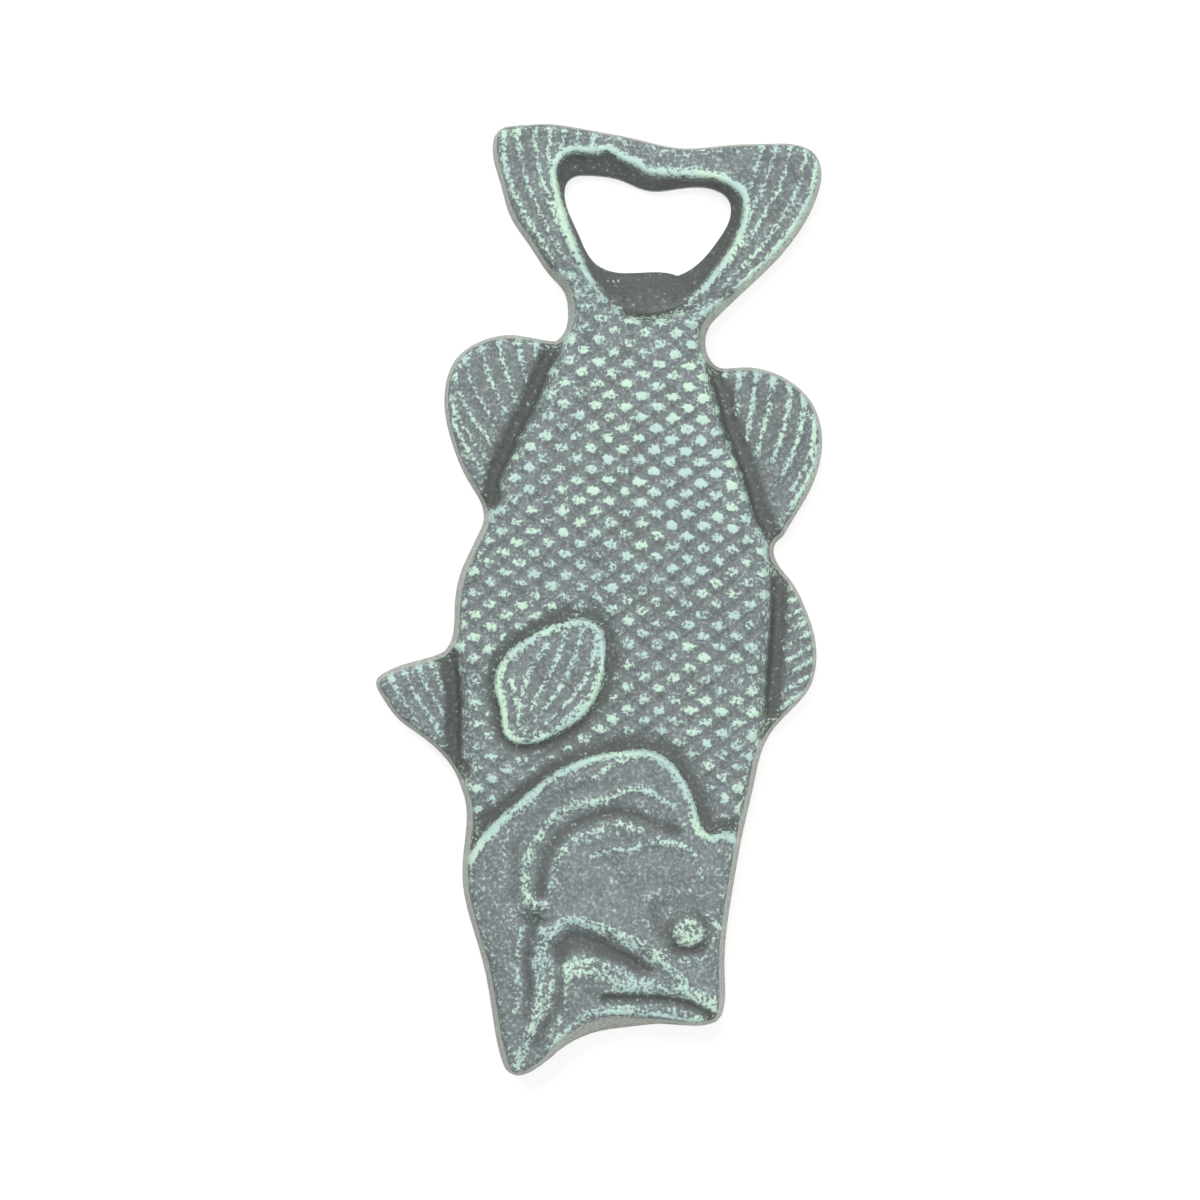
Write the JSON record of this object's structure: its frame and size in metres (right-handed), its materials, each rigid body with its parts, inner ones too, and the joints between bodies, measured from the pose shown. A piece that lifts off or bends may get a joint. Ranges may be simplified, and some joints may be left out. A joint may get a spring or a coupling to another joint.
{
  "type": "bottle opener",
  "caption": "Flat-backed cast iron bottle opener shaped as a bass, whose tail fin holds a through mouth with a tooth that levers off crown caps.",
  "frame": {"origin": "middle of the outline's length and width, on the flat back face", "axes": "+Z out of the relief side, +Y towards the tail fin that opens caps, +X towards the fish's back, so the fish hangs head down"},
  "size_m": [0.07, 0.152, 0.0125],
  "materials": {
    "verdigris_cast_iron": "dark cast iron, dry-brushed with matt verdigris paint"
  },
  "bodies": {
    "root": {"fish_opener_casting": "verdigris_cast_iron"}
  },
  "joints": []
}
